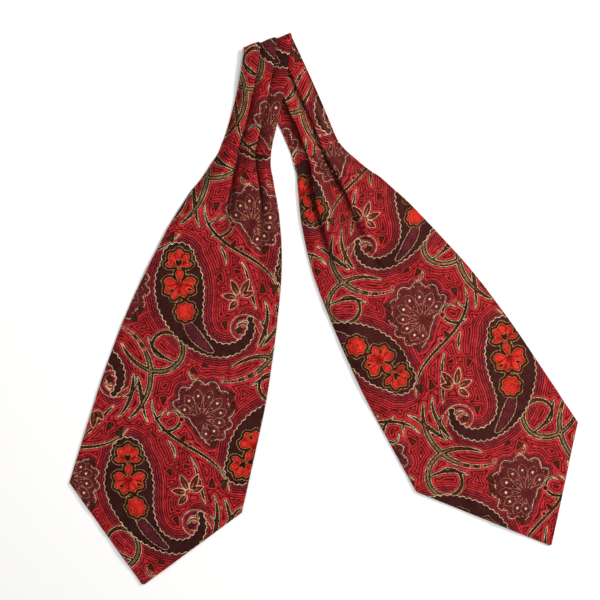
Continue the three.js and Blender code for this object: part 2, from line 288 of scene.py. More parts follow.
@dataclass
class PaisleySilk:
    """One repeat of the weave: distances to its figures over the cloth.

    Figures are drawn about the middle of the large flower. A second set of them stands half a
    repeat across, turned end for end.
    """

    repeat: tuple[float, float] = (220.0, 195.0)
    half_drop: tuple[float, float] = (110.0, -57.0)
    tilt: float = 14.4
    grid: float = 0.5
    reach: float = 24.0
    chart: dict[Motif, Array] = field(default_factory=dict)

    # Drop-shaped figure: vine of its spine, then share of the way down and half width
    BODY = (-4, -23.5, 85, 158, 50, -245, 23)
    BODY_HALF = ((0, 15), (0.09, 21), (0.18, 23), (0.28, 21.4), (0.38, 17), (0.48, 12.2), (0.56, 8.6),
                 (0.64, 6.5), (0.71, 5.4), (0.78, 4.5), (0.85, 3.8), (0.92, 3), (1, 1.4))
    BUD = (4, 37, 62, 38, -25, 0, 4.6)
    SCROLL = (78, 57, -88, 92, -120, -400, 2.8)
    # Large flower: blooms of petals from two hearts, each petal a heading, a length and a half width
    BLOOMS = ((-3.5, -17.0, ((-90, 16, 4.2), (-128, 15, 3.8), (-52, 15, 3.8), (186, 13, 2.4), (-6, 13, 2.4))),
              (-2.5, 1.0, ((-90, 15, 3.4), (192, 15, 4.4), (-12, 16, 4.4), (150, 16, 4.2), (28, 16, 4.2),
                           (112, 16, 3.6), (66, 14, 3.2))))
    SLOTS = ((-3.5, -16, -109, 8, 1.6), (-3.5, -16, -71, 8, 1.6), (5, 5, 30, 6, 1.2), (-7, 6, 150, 6, 1.2))
    ROSETTE = (3.6, 27.8, 8.2, 8, 1.3)
    # Fan: place of its hub, then heading and radius round it
    HUB = (67.5, -57.5)
    FAN = ((-180, 11), (-166, 22), (-150, 30), (-120, 34), (-90, 36), (-60, 36), (-30, 33.5), (0, 30),
           (30, 28.5), (60, 27.5), (80, 24), (98, 14), (120, 10), (150, 10), (180, 11))
    FAN_PETALS = (-152, -124, -97, -70, -43, -16, 13, 44, 72)
    # Vines of the ground: start, heading, length, turns, half width
    STEMS = (
        (20, -76, 95, 122, -250, 240, 1.8), (27, -46, 12, 46, -60, -200, 1.6), (36, -36, 50, 19, 40, 0, 1.3),
        (22, -56, -25, 13, -35, 0, 1.1), (75, 37, 35, 22, 75, 0, 1.3), (91, 22, 66, 108, 118, 0, 2.9),
        (-10, -130, 62, 150, -90, -330, 2.8),
        (2, -101, 92, 46, 10, 40, 2.1), (6, -98, 74, 45, 40, -50, 2.1),
        (-17, -70, 140, 48, -40, 50, 1.7), (8, 85, 115, 15, -150, 0, 1.0), (-33, 52, 70, 45, -65, 0, 1.6),
    )
    BEADED, BEAD_SHARES = 5, (0.7, 0.78, 0.86, 0.93)
    BEADS = ((48.5, -56.6, 3.0), (57, -33, 2.4), (10.5, 90.8, 1.5), (36, -117, 1.4), (39, -104, 1.3),
             (-2, -66, 1.3), (9.8, -66, 1.3), (88, -96, 1.9), (33, -66, 1.4), (59, 42, 1.5))
    # Leaf flower: foot, then heading, length and half width of each leaf
    SPRIG = (56.0, 14.5)
    LEAVES = ((-116, 20, 3.3), (-64, 21, 3.4), (-24, 15.5, 3), (188, 17.5, 3.3), (132, 15.5, 3.2))
    # Dark wedges between the figures: x, y, size, heading
    WEDGES = ((30.5, -76, 5.5, 90), (-21, -51, 6, 120), (41.5, 40, 5, 75), (89.5, 5, 6.5, 95),
              (36.5, -6, 4.5, 60), (50, -37.5, 3.8, -70), (97, -80, 6, 110), (-38, -16, 5, 80),
              (-40, 26, 5, 100), (22, 80, 4.2, 20), (60, -104, 5, 40), (-22, -96, 5, 70), (53, -11, 3.2, 0))

    def __post_init__(self) -> None:
        """Draw both sets of figures on an empty repeat."""
        self.shape = (round(self.repeat[1] / self.grid), round(self.repeat[0] / self.grid))
        self.chart = {motif: np.full(self.shape, self.reach) for motif in Motif}
        for motif, outline in self.outlines():
            for offset, flip in (((0.0, 0.0), 1.0), (self.half_drop, -1.0)):
                self.stamp(motif, self.on_cloth(outline, offset, flip))
        halo = {Motif.BODY: 10.4, Motif.FAN: 5.4, Motif.STEM: 1.9, Motif.SCROLL: 1.5, Motif.LEAF: 1.4,
                Motif.WEDGE: 0.9, Motif.BEAD: 0.8}
        self.chart[Motif.GROUND] = np.minimum.reduce(
            [self.chart[motif] - wide for motif, wide in halo.items()])

    def outlines(self) -> list[tuple[Motif, Array]]:
        """List every figure of one set with its outline."""
        spine = Figure.vine(*self.BODY)
        spine[:, 2] = np.interp(np.linspace(0, 1, len(spine)), *np.transpose(self.BODY_HALF))
        drawn = [(Motif.BODY, Figure.scallop(Figure.stroke(spine, 60), 6.2, 1.7)),
                 (Motif.BUD, Figure.scallop(Figure.stroke(Figure.vine(*self.BUD), 24), 4.6, 1.0)),
                 (Motif.SCROLL, Figure.stroke(Figure.vine(*self.SCROLL))), (Motif.FAN, self.fan())]
        lobes = [Figure.rosette(*self.ROSETTE)]
        for x, y, petals in self.BLOOMS:
            lobes += [Figure.leaf(x, y, *petal, 1.7) for petal in petals]
            lobes.append(Figure.rosette(x, y, 2.6))
        for lobe in lobes:
            drawn += [(Motif.FLOWER, lobe), (Motif.VEIN, self.thin(lobe))]
        drawn += [(Motif.HEART, Figure.leaf(*row)) for row in self.SLOTS]
        drawn += [(Motif.STEM, Figure.stroke(Figure.vine(*row))) for row in self.STEMS]
        beaded = Figure.vine(*self.STEMS[self.BEADED])
        spots = [beaded[round(share * (len(beaded) - 1)), :2] for share in self.BEAD_SHARES]
        drawn += [(Motif.BEAD, Figure.rosette(*spot, 1.8)) for spot in spots]
        drawn += [(Motif.BEAD, Figure.rosette(*row)) for row in self.BEADS]
        for heading in self.FAN_PETALS:
            reach = np.interp(heading, *np.transpose(self.FAN))
            petal = Figure.leaf(*self.from_hub(heading, 5), heading, 0.66 * reach, 4.1, 2.0)
            drawn.append((Motif.PETAL, petal))
            drawn.append((Motif.SEED, Figure.rosette(*self.from_hub(heading, 0.62 * reach), 1.05)))
            drawn.append((Motif.DOT, Figure.rosette(*self.from_hub(heading, 0.42 * reach), 0.8)))
            for turn in (-7, 7):
                drawn.append((Motif.DOT, Figure.rosette(*self.from_hub(heading + turn, 0.93 * reach), 0.85)))
        for heading, length, half in self.LEAVES:
            angle = math.radians(heading)
            foot = np.array(self.SPRIG) + 3.0 * np.array([math.cos(angle), math.sin(angle)])
            drawn.append((Motif.LEAF, Figure.leaf(*foot, heading, length - 3, half)))
            drawn.append((Motif.RIB, Figure.leaf(*self.SPRIG, heading, 0.75 * length, 0.7)))
        for x, y, size, heading in self.WEDGES:
            corners = np.radians(heading + np.array([0.0, 130.0, 230.0]))
            reach = 0.78 * size * np.array([1.35, 0.7, 0.9])
            drawn.append((Motif.WEDGE, np.column_stack([x + reach * np.cos(corners),
                                                        y + reach * np.sin(corners)])))
        return drawn

    @staticmethod
    def thin(outline: Array) -> Array:
        """Band a little wide that follows an outline, there and back."""
        middle = outline.mean(axis=0)
        inner = outline + 0.35 * (middle - outline) / np.linalg.norm(middle - outline, axis=1)[:, None]
        return np.vstack([outline, outline[:1], inner[:1], inner[::-1]])

    def from_hub(self, heading: float, reach: float) -> tuple[float, float]:
        """Place at a heading and distance from the hub of the fan."""
        angle = math.radians(heading)
        return self.HUB[0] + reach * math.cos(angle), self.HUB[1] + reach * math.sin(angle)

    def fan(self) -> Array:
        """Scalloped outline of the fan."""
        heading = np.linspace(-180, 180, 180, endpoint=False)
        reach = np.interp(heading, *np.transpose(self.FAN))
        bays = np.abs(np.cos(np.radians(heading + 152) * 180 / 27.6))
        reach = reach + np.where(reach > 18, 5.4 * bays - 3.6, 0)
        return np.array([self.from_hub(h, r) for h, r in zip(heading, reach)])

    def on_cloth(self, outline: Array, offset: tuple[float, float], flip: float) -> Array:
        """Turn an outline into the grain of the cloth and set it in its place.

        Args:
            outline: places of the figure.
            offset: place of the set in the repeat.
            flip: -1 for the set that is turned end for end.

        Returns:
            Places across and along the cloth.
        """
        turn = math.radians(self.tilt)
        across = outline[:, 0] * math.cos(turn) + outline[:, 1] * math.sin(turn)
        along = outline[:, 1] * math.cos(turn) - outline[:, 0] * math.sin(turn)
        return np.column_stack([across + offset[0], flip * along + offset[1]])

    def stamp(self, motif: Motif, outline: Array) -> None:
        """Lower the chart of a figure to the distances from one more outline.

        Args:
            motif: figure.
            outline: closed outline across and along the cloth.
        """
        low = np.floor((outline.min(axis=0) - self.reach) / self.grid).astype(int)
        high = np.ceil((outline.max(axis=0) + self.reach) / self.grid).astype(int)
        high = np.minimum(high, low + np.array(self.shape[::-1]) - 1)
        across, along = np.arange(low[0], high[0] + 1), np.arange(low[1], high[1] + 1)
        x, y = np.meshgrid(across * self.grid, along * self.grid)
        near, inside = np.full(x.shape, np.inf), np.zeros(x.shape, dtype=bool)
        for (ax, ay), (bx, by) in zip(outline, np.roll(outline, -1, axis=0)):
            dx, dy = bx - ax, by - ay
            share = np.clip(((x - ax) * dx + (y - ay) * dy) / max(dx * dx + dy * dy, 1e-9), 0, 1)
            near = np.minimum(near, (x - ax - share * dx) ** 2 + (y - ay - share * dy) ** 2)
            if ay != by:
                inside ^= ((ay > y) != (by > y)) & (x < dx * (y - ay) / dy + ax)
        window = np.ix_(along % self.shape[0], across % self.shape[1])
        distance = np.where(inside, -np.sqrt(near), np.sqrt(near))
        self.chart[motif][window] = np.minimum(self.chart[motif][window], distance)

    def read(self, motif: Motif, cloth: Array) -> Array:
        """Distance to a figure at places of the cloth.

        Args:
            motif: figure.
            cloth: places across and along, from the middle of a flower.

        Returns:
            Distances, below 0 inside the figure.
        """
        place = cloth / self.grid
        low = np.floor(place).astype(int)
        u, v = np.moveaxis(place - low, -1, 0)
        i, j = np.moveaxis(low, -1, 0)
        i0, i1 = i % self.shape[1], (i + 1) % self.shape[1]
        j0, j1 = j % self.shape[0], (j + 1) % self.shape[0]
        chart = self.chart[motif]
        return ((1 - v) * ((1 - u) * chart[j0, i0] + u * chart[j0, i1])
                + v * ((1 - u) * chart[j1, i0] + u * chart[j1, i1]))


def linear(colour: str) -> tuple[float, float, float, float]:
    """Turn an sRGB hex colour into the renderer's linear one."""
    parts = [int(colour[i:i + 2], 16) / 255.0 for i in (1, 3, 5)]
    red, green, blue = (c / 12.92 if c <= 0.04045 else ((c + 0.055) / 1.055) ** 2.4 for c in parts)
    return red, green, blue, 1.0


def add_node(tree: bpy.types.NodeTree, kind: str, inputs: dict[Any, Any] | None = None,
             **settings: Any) -> bpy.types.Node:
    """Add a node with its settings, values and links.

    Args:
        tree: tree that takes the node.
        kind: node type.
        inputs: value or linked output for each input.
        settings: attributes of the node.

    Returns:
        The node.
    """
    node = tree.nodes.new(kind)
    for name, value in settings.items():
        setattr(node, name, value)
    for key, value in (inputs or {}).items():
        if isinstance(value, bpy.types.NodeSocket):
            tree.links.new(value, node.inputs[key])
        else:
            node.inputs[key].default_value = value
    return node


@dataclass(frozen=True)
class Thread:
    """One colour of weft: where it shows about a figure.

    A fill shows up to a distance from the outline; a line has a half width about it. Dotted weft
    shows in small stitches.
    """

    motif: Motif
    colour: str
    at: float
    half: float = 0.0
    dotted: bool = False


@dataclass(frozen=True)
class Jacquard:
    """Jacquard-woven silk twill, self-lined: satin gloss with fine diagonal ribs.

    The eye sees deep reds that lift to a soft sheen on folds, dark figures edged in gold stitches,
    and stitched lines that repeat the outline of each figure across the ground.
    """

    name: str = "jacquard_silk_twill"
    echo: float = 2.3  # mm between the lines of the ground
    stitch: float = 1.9  # mm; real stitches are 0.5 mm, drawn coarser to show
    twill: float = 1.3  # mm; real ribs are 0.3 mm, drawn coarser to show
    pick: float = 0.9  # mm of one float of weft that takes the light on its own
    mottle: float = 7.0  # mm over which the tone of the weft wanders
    roughness: float = 0.48
    floats: tuple[float, float] = (0.6, 1.35)  # darkest and brightest float
    tones: tuple[float, float] = (0.72, 1.28)  # darkest and brightest of the wandering tone
    shade: float = 0.14  # light left deep in a pleat
    echo_threads: tuple[tuple[float, str], ...] = (
        (0.0, "#AA252C"), (0.4, "#76151A"), (0.56, "#300A0A"), (0.82, "#76151A"))
    # Layers from the lowest up: figure, then colour, place, half width and whether dotted of each thread
    layers: tuple[tuple[Motif, tuple[tuple[Any, ...], ...]], ...] = (
        (Motif.FAN, (("#4A0E16", 5.4), ("#A82A32", 5.0, 0.45), ("#9A303A", 3.4, 0.5, True),
            ("#8A2A34", 1.9, 0.4, True))),
        (Motif.BODY, (("#8C191F", 10.4), ("#2A0A08", 10.0, 0.4), ("#B42A30", 8.9, 0.6),
            ("#2E0A0C", 7.9, 0.35), ("#541019", 7.6), ("#A42E38", 6.5, 0.5, True), ("#320A10", 5.4, 0.3),
            ("#A02C38", 4.3, 0.5, True), ("#320A10", 3.2, 0.3), ("#8E2834", 2.1, 0.5, True))),
        (Motif.SCROLL, (("#8E181E", 1.5), ("#3C0C0C", 0.8), ("#6A4A26", 0.4), ("#D4BE9A", 0.42, 0, True),
            ("#6E141C", -0.35), ("#B03C46", -0.9, 0, True), ("#34101A", -1.9))),
        (Motif.STEM, (("#8E181E", 1.9), ("#B8282E", 1.55, 0.35), ("#2E0C0A", 1.0), ("#5A3E1E", 0.4),
            ("#CDB894", 0.42, 0, True), ("#160C07", -0.35), ("#46281A", -1.1, 0, True),
            ("#A08A62", -2.1, 0.3, True))),
        (Motif.FAN, (("#5A3E1E", 0.4), ("#D0BA98", 0.42, 0, True), ("#2C0C10", -0.45),
            ("#8A3C3E", -1.5, 0.5, True), ("#34100F", -2.4), ("#66272A", -2.8, 0, True))),
        (Motif.PETAL, (("#4A1C18", 0.5), ("#B07860", 0.5, 0, True), ("#240A0E", -0.2),
            ("#782E34", -0.9, 0, True))),
        (Motif.DOT, (("#C0605F", 0.1),)),
        (Motif.SEED, (("#D6C698", 0.2),)),
        (Motif.LEAF, (("#8E181E", 1.4), ("#C49A7C", 0.35), ("#1E0D0A", -0.3), ("#6A2A20", -1.0, 0, True))),
        (Motif.RIB, (("#9A5A40", 0.0),)),
        (Motif.WEDGE, (("#3E100C", 0.8), ("#141A10", 0.0), ("#2E3424", -0.7, 0, True))),
        (Motif.BODY, (("#6A4A26", 0.45), ("#D6C2A0", 0.47, 0, True), ("#110808", -0.4),
            ("#2F1B1D", -1.3, 0, True))),
        (Motif.BUD, (("#5A3E22", 1.0), ("#BCA47C", 1.0, 0, True), ("#2A0C14", 0.3),
            ("#5E2430", -0.9, 0, True))),
        (Motif.FLOWER, (("#3A2812", 2.9, 0.3), ("#A88E5C", 2.9, 0.3, True), ("#1C0E0A", 2.6),
            ("#9C7440", 0.5), ("#9A1314", 0.1), ("#B41E1C", -0.7), ("#CC3226", -1.5, 0, True))),
        (Motif.VEIN, (("#700C0A", 0.24),)),
        (Motif.HEART, (("#8E6634", 0.4), ("#120706", 0.0))),
        (Motif.BEAD, (("#A8875A", 0.3), ("#A4343C", 0.0), ("#2A080C", -1.1))),
    )

    def dress(self) -> bpy.types.Material:
        """Make the material.

        Returns:
            Material that reads the figures, and the painted shade deep in the pleats, from the attributes of
            a piece.
        """
        material = bpy.data.materials.new(self.name)
        material.use_nodes = True
        tree = material.node_tree
        tree.nodes.clear()
        figures = {motif: add_node(tree, "ShaderNodeAttribute", attribute_name=motif.value).outputs["Fac"]
                   for motif in Motif}
        cloth = add_node(tree, "ShaderNodeAttribute", attribute_name="cloth").outputs["Vector"]
        stitches = self.stitches(tree, cloth)
        turn = add_node(tree, "ShaderNodeMath", {0: figures[Motif.GROUND], 1: self.echo},
                        operation="FLOORED_MODULO").outputs[0]
        share = add_node(tree, "ShaderNodeMath", {0: turn, 1: self.echo}, operation="DIVIDE").outputs[0]
        ramp = add_node(tree, "ShaderNodeValToRGB", {0: share})
        ramp.color_ramp.interpolation = "CONSTANT"
        for index, (at, colour) in enumerate(self.echo_threads):
            stops = ramp.color_ramp.elements
            stop = stops[index] if index < 2 else stops.new(at)
            stop.position, stop.color = at, linear(colour)
        colour = ramp.outputs["Color"]
        for thread in (Thread(motif, *row) for motif, rows in self.layers for row in rows):
            colour = self.weave(tree, thread, figures[thread.motif], stitches, colour)
        snapped = add_node(tree, "ShaderNodeVectorMath", {0: cloth, 1: (self.pick,) * 3},
                           operation="SNAP").outputs[0]
        chance = add_node(tree, "ShaderNodeTexWhiteNoise", {"Vector": snapped},
                          noise_dimensions="2D").outputs["Value"]
        floats = add_node(tree, "ShaderNodeMapRange",
                          {0: chance, 3: self.floats[0], 4: self.floats[1]}).outputs[0]
        # Painted shade: the colour is darkened towards the shade factor deep in the pleats, where the cloth
        # beside keeps the light off
        painted_shade_share = add_node(tree, "ShaderNodeAttribute", attribute_name="painted_shade_share").outputs["Fac"]
        depth = add_node(tree, "ShaderNodeMapRange", {0: painted_shade_share, 3: 1.0, 4: self.shade}).outputs[0]
        floats = add_node(tree, "ShaderNodeMath", {0: floats, 1: depth}, operation="MULTIPLY").outputs[0]
        cloud = add_node(tree, "ShaderNodeTexNoise",
                         {"Vector": cloth, "Scale": 1 / self.mottle, "Detail": 2.0},
                         noise_dimensions="2D").outputs["Fac"]
        tone = add_node(tree, "ShaderNodeMapRange", {0: cloud, 1: 0.3, 2: 0.7, 3: self.tones[0],
                                                     4: self.tones[1]}).outputs[0]
        floats = add_node(tree, "ShaderNodeMath", {0: floats, 1: tone}, operation="MULTIPLY").outputs[0]
        colour = add_node(tree, "ShaderNodeVectorMath", {0: colour, "Scale": floats},
                          operation="SCALE").outputs[0]
        ribs = add_node(tree, "ShaderNodeTexWave", {"Vector": cloth, "Scale": 0.445 / self.twill,
                                                    "Distortion": 0.6, "Detail": 1.0},
                        wave_type="BANDS", bands_direction="DIAGONAL")
        bump = add_node(tree, "ShaderNodeBump", {"Height": ribs.outputs["Fac"], "Strength": 0.25,
                                                 "Distance": 0.0002})
        shader = add_node(tree, "ShaderNodeBsdfPrincipled", {
            "Base Color": colour, "Roughness": self.roughness, "IOR": 1.5, "Normal": bump.outputs[0],
            "Specular IOR Level": 0.3, "Specular Tint": linear("#FF7458"), "Sheen Weight": 0.02,
            "Sheen Roughness": 0.35, "Sheen Tint": linear("#E8B0A0")})
        add_node(tree, "ShaderNodeOutputMaterial", {"Surface": shader.outputs[0]})
        return material

    def stitches(self, tree: bpy.types.NodeTree, cloth: bpy.types.NodeSocket) -> bpy.types.NodeSocket:
        """Mask of small stitches in rows over the cloth.

        Args:
            tree: tree of the material.
            cloth: places over the cloth in mm.

        Returns:
            1 on a stitch and 0 between.
        """
        parts = add_node(tree, "ShaderNodeSeparateXYZ", {0: cloth})
        waves = []
        for axis in range(2):
            scaled = add_node(tree, "ShaderNodeMath", {0: parts.outputs[axis], 1: 2 * math.pi / self.stitch},
                              operation="MULTIPLY").outputs[0]
            waves.append(add_node(tree, "ShaderNodeMath", {0: scaled}, operation="SINE").outputs[0])
        both = add_node(tree, "ShaderNodeMath", {0: waves[0], 1: waves[1]}, operation="MULTIPLY").outputs[0]
        return add_node(tree, "ShaderNodeMath", {0: both, 1: 0.0}, operation="GREATER_THAN").outputs[0]

    def weave(self, tree: bpy.types.NodeTree, thread: Thread, distance: bpy.types.NodeSocket,
              stitches: bpy.types.NodeSocket, below: bpy.types.NodeSocket) -> bpy.types.NodeSocket:
        """Lay one thread over the colours below it.

        Args:
            tree: tree of the material.
            thread: colour and place.
            distance: distance to the thread's figure.
            stitches: mask of the stitches.
            below: colour so far.

        Returns:
            Colour with the thread.
        """
        if thread.half:
            mask = add_node(tree, "ShaderNodeMath", {0: distance, 1: thread.at, 2: thread.half},
                            operation="COMPARE").outputs[0]
        else:
            mask = add_node(tree, "ShaderNodeMath", {0: distance, 1: thread.at},
                            operation="LESS_THAN").outputs[0]
        if thread.dotted:
            mask = add_node(tree, "ShaderNodeMath", {0: mask, 1: stitches}, operation="MULTIPLY").outputs[0]
        return add_node(tree, "ShaderNodeMix", {0: mask, 6: below, 7: linear(thread.colour)},
                        data_type="RGBA").outputs[2]


@dataclass(frozen=True)
class Crease:
    """Soft ridge of the cloth between two places of a half, in mm along and inwards."""

    along: tuple[float, float]
    inward: tuple[float, float]
    half_width: float
    height: float

    def rise(self, along: Array, inward: Array) -> Array:
        """Height that the ridge adds at places of the half."""
        run = np.array([self.along[1] - self.along[0], self.inward[1] - self.inward[0]])
        share = ((along - self.along[0]) * run[0] + (inward - self.inward[0]) * run[1]) / (run @ run)
        share = np.clip(share, 0.0, 1.0)
        off = np.hypot(along - self.along[0] - share * run[0], inward - self.inward[0] - share * run[1])
        return self.height * np.sin(math.pi * share) * np.exp(-(off / self.half_width) ** 2)


@dataclass(frozen=True)
class Lay:
    """How one half lies: joint of band and blade, tilt of the blade, and the ends of its edges."""

    hand: int
    joint: tuple[float, float]
    tilt: float
    bow: float
    outer_shoulder: float
    inner_shoulder: float
    tip_along: float
    tip_inward: float
    flower: tuple[float, float]
    band_flower: tuple[float, float]
    take_up: float  # mm of cloth gathered in along the neck of the blade
    sway: float  # mm that the cloth swings across there
    creases: tuple[Crease, ...]

    def drift(self, along: Array) -> tuple[Array, Array]:
        """Cloth swung across and gathered in along at places of the blade."""
        left = 1 - ease(along / 170.0)
        return self.sway * left, -self.take_up * left

    def plan(self, along: Array, inward: Array) -> Array:
        """Place in plan from the distances along the blade and inwards."""
        lean = math.radians(self.tilt)
        x = self.joint[0] + self.hand * (math.cos(lean) * inward - math.sin(lean) * along)
        y = self.joint[1] - math.cos(lean) * along - math.sin(lean) * inward
        return np.stack([x, y], axis=-1)

    def along(self, plan: Array) -> Array:
        """Distance along the blade of places in plan, below 0 in the band."""
        lean = math.radians(self.tilt)
        return (-self.hand * math.sin(lean) * (plan[..., 0] - self.joint[0])
                - math.cos(lean) * (plan[..., 1] - self.joint[1]))

    def relief(self, along: Array, inward: Array) -> Array:
        """Height of all the creases at places of the half."""
        ridges = [crease.rise(along, inward) for crease in self.creases]
        return self.crumple(along, inward) + np.sum(ridges, axis=0)

    def crumple(self, along: Array, inward: Array) -> Array:
        """Height of the small uneven waves that silk keeps when it is laid down."""
        total = np.zeros_like(along)
        for length, heading, height, start in CRUMPLE:
            angle = math.radians(heading * self.hand)
            way = along * math.cos(angle) + inward * math.sin(angle)
            cross = inward * math.cos(angle) - along * math.sin(angle)
            wander = 1.3 * np.sin(cross / (0.45 * length))
            total += height * np.sin(2 * math.pi * way / length + start + wander)
        return total * ease((along + 110.0) / 60.0)


@dataclass
class Section:
    """One section across the pleated cloth: places across, height, and length of cloth so far."""

    width: float
    first: float
    second: float
    rise: float
    turn: float
    edge: float = 0.0
    opened: float = 0.0

    def fold(self) -> tuple[Array, float]:
        """Line of one fold from its crest.

        Returns:
            Places across and down from the crest, and how far the fold reaches past the crest.
        """
        angle = math.radians(self.turn)
        spare = max(0.0, (NECK_CLOTH - self.width) / 4 - LAYER - LEAST_RUN)
        run = LEAST_RUN + spare * float(ease(np.array((self.turn - 150.0) / 30.0)))
        bend = (self.rise - run * math.sin(angle)) / (2 * (1 - math.cos(angle)))
        down = np.linspace(0, angle, 12)
        back = np.linspace(-angle, 0, 12)
        first = np.column_stack([bend * np.sin(down), bend * (np.cos(down) - 1)])
        start = first[-1] + run * np.array([math.cos(angle), -math.sin(angle)])
        second = start + np.column_stack([bend * (np.sin(back) + math.sin(angle)),
                                          bend * (math.cos(angle) - np.cos(back))])
        return np.vstack([first, second]), bend * math.sin(min(angle, math.pi / 2))

    def line(self) -> tuple[Array, Array]:
        """Middle line of the cloth and the columns of the mesh on it.

        Returns:
            Places across and height for each column, and the length of cloth at each column.
        """
        points, marks = [np.zeros((1, 2))], []
        if self.rise > 0.02:
            fold, reach = self.fold()
            start, clear = 0.0, 0.0
            for share in (self.first, self.second):
                edge = share * self.width
                crest = edge - reach
                down = start + clear + FLAT_SHARE * (edge - start)
                landing = max(crest + min(0.0, fold[:, 0].min()) - CLEARANCE, down + 0.5)
                climb = np.linspace(0, 1, 24)
                swell = 0.4 * ease(climb) + 0.6 * np.sin(climb * math.pi / 2)
                points.append(np.column_stack([down + climb * (landing - down), self.rise * swell]))
                points.append(np.array([crest, self.rise]) + fold)
                marks.append((sum(map(len, points[:-1])), sum(map(len, points)) - 1))
                start, clear = edge, reach
            climb = np.linspace(0, 1, 24)
            down = start + clear + FLAT_SHARE * (self.width - start)
            points.append(np.column_stack([down + climb * (self.width - down),
                                           self.rise * self.edge * ease(climb)]))
        else:
            points.append(np.array([[self.width, 0.0]]))
        path = np.vstack(points)
        reach = np.concatenate([[0], np.cumsum(np.linalg.norm(np.diff(path, axis=0), axis=1))])
        at = self.columns(reach, marks)
        return np.column_stack([np.interp(at, reach, path[:, i]) for i in range(2)]), at

    def columns(self, reach: Array, marks: list[tuple[int, int]]) -> Array:
        """Spread the columns: close at edges and folds, even where the cloth is open.

        Args:
            reach: length of cloth at each place of the line.
            marks: first and last place of each fold.

        Returns:
            Length of cloth at each column.
        """
        total = reach[-1]
        close = min(1.0, total / 12.0)
        low, high = EDGE_ROLL * close, total - EDGE_ROLL * close
        count = sum(STRIP_COLUMNS) + 2 * FOLD_COLUMNS - 4
        even = np.linspace(low, high, count)
        if marks:
            ends = [low, *(reach[k] for mark in marks for k in mark), high]
            sizes = (STRIP_COLUMNS[0], FOLD_COLUMNS, STRIP_COLUMNS[1], FOLD_COLUMNS, STRIP_COLUMNS[2])
            runs = [np.linspace(a, b, n) for a, b, n in zip(ends, ends[1:], sizes)]
            folded = np.concatenate([runs[0], *(run[1:] for run in runs[1:])])
            even = folded + self.opened * (even - folded)
        return np.concatenate([EDGE_STEPS * close, even, total - EDGE_STEPS[::-1] * close])


@dataclass
class ClothPiece:
    """A piece of cloth: rows of places in mm, with the place of each on the flat cloth."""

    name: str
    slot: str
    silk: PaisleySilk
    rows: list[Array] = field(default_factory=list)
    flat: list[Array] = field(default_factory=list)

    def add(self, places: Array, across: Array, along: Array) -> None:
        """Add one row across the cloth."""
        self.rows.append(places)
        self.flat.append(np.column_stack([across, along]))

    @staticmethod
    def painted_pleat_shade(places: Array, reach: float = 11.0, depth: float = 2.6) -> Array:
        """Painted shade: how deep each place lies in a pleat, where the cloth beside it keeps the light off;
        the colour is darkened by this share.

        Args:
            places: rows of the cloth.
            reach: distance across at which a higher place counts no more.
            depth: height over a place that makes it fully dark.

        Returns:
            Shares from 0 to 1.
        """
        found = []
        for row in places:
            gap = np.linalg.norm(row[:, None, :2] - row[None, :, :2], axis=2)
            over = (row[None, :, 2] - row[:, None, 2]) * np.clip(1 - gap / reach, 0, 1)
            found.append(np.clip(over.max(axis=1) / depth, 0, 1))
        return np.array(found) ** 0.8

    def build(self, upward: bool, flower: tuple[float, float],
              finish: bpy.types.Material) -> bpy.types.Object:
        """Make the mesh of the piece and dress it.

        Args:
            upward: whether the rows already run so that the face looks up.
            flower: place of the middle of a flower on the cloth.
            finish: material.

        Returns:
            The piece.
        """
        step = 1 if upward else -1
        places, flat = np.array(self.rows)[::step], np.array(self.flat)[::step]
        shell = bmesh.new()
        bmesh.ops.create_grid(shell, x_segments=places.shape[1] - 1, y_segments=places.shape[0] - 1, size=1.0)
        for edge in shell.edges:
            edge.smooth = not edge.is_boundary
        mesh = bpy.data.meshes.new(f"{self.name}_silk")
        shell.to_mesh(mesh)
        shell.free()
        grid = np.empty(len(mesh.vertices) * 3)
        mesh.vertices.foreach_get("co", grid)
        grid = grid.reshape(-1, 3)
        column = np.rint((grid[:, 0] + 1) / 2 * (places.shape[1] - 1)).astype(int)
        row = np.rint((grid[:, 1] + 1) / 2 * (places.shape[0] - 1)).astype(int)
        mesh.vertices.foreach_set("co", (places[row, column] * MM).ravel())
        cloth = flat[row, column]
        for motif in Motif:
            values = self.silk.read(motif, cloth - np.array(flower))
            mesh.attributes.new(motif.value, "FLOAT", "POINT").data.foreach_set("value", values)
        spread = np.column_stack([cloth, np.zeros(len(cloth))])
        mesh.attributes.new("cloth", "FLOAT_VECTOR", "POINT").data.foreach_set("vector", spread.ravel())
        # Painted shade: share by which the colour is darkened deep in each pleat, kept as an attribute of the
        # mesh
        deep = self.painted_pleat_shade(places)[row, column]
        mesh.attributes.new("painted_shade_share", "FLOAT", "POINT").data.foreach_set("value", deep)
        mesh.polygons.foreach_set("use_smooth", np.ones(len(mesh.polygons), dtype=bool))
        mesh.update()
        piece = bpy.data.objects.new(mesh.name, mesh)
        bpy.context.scene.collection.objects.link(piece)
        mesh.materials.append(finish)
        wall = piece.modifiers.new("wall", "SOLIDIFY")
        wall.thickness, wall.offset = SILK * MM, 0.0
        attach(piece, "root")
        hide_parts(self.name)
        LOG.info("%s: %d faces", self.name, len(mesh.polygons))
        return piece


def edge_seam(at: Array) -> Array:
    """Share of the pressed groove beside the turned edges of a row."""
    near = np.minimum(at, at[-1] - at)
    return np.exp(-((near - 2.4) / 0.8) ** 2)


def edge_roll(at: Array) -> Array:
    """Share of the roll at the two edges of a row, 1 on the edge itself."""
    near = np.minimum(at, at[-1] - at)
    return np.clip(1 - near / EDGE_ROLL, 0, 1) ** 2


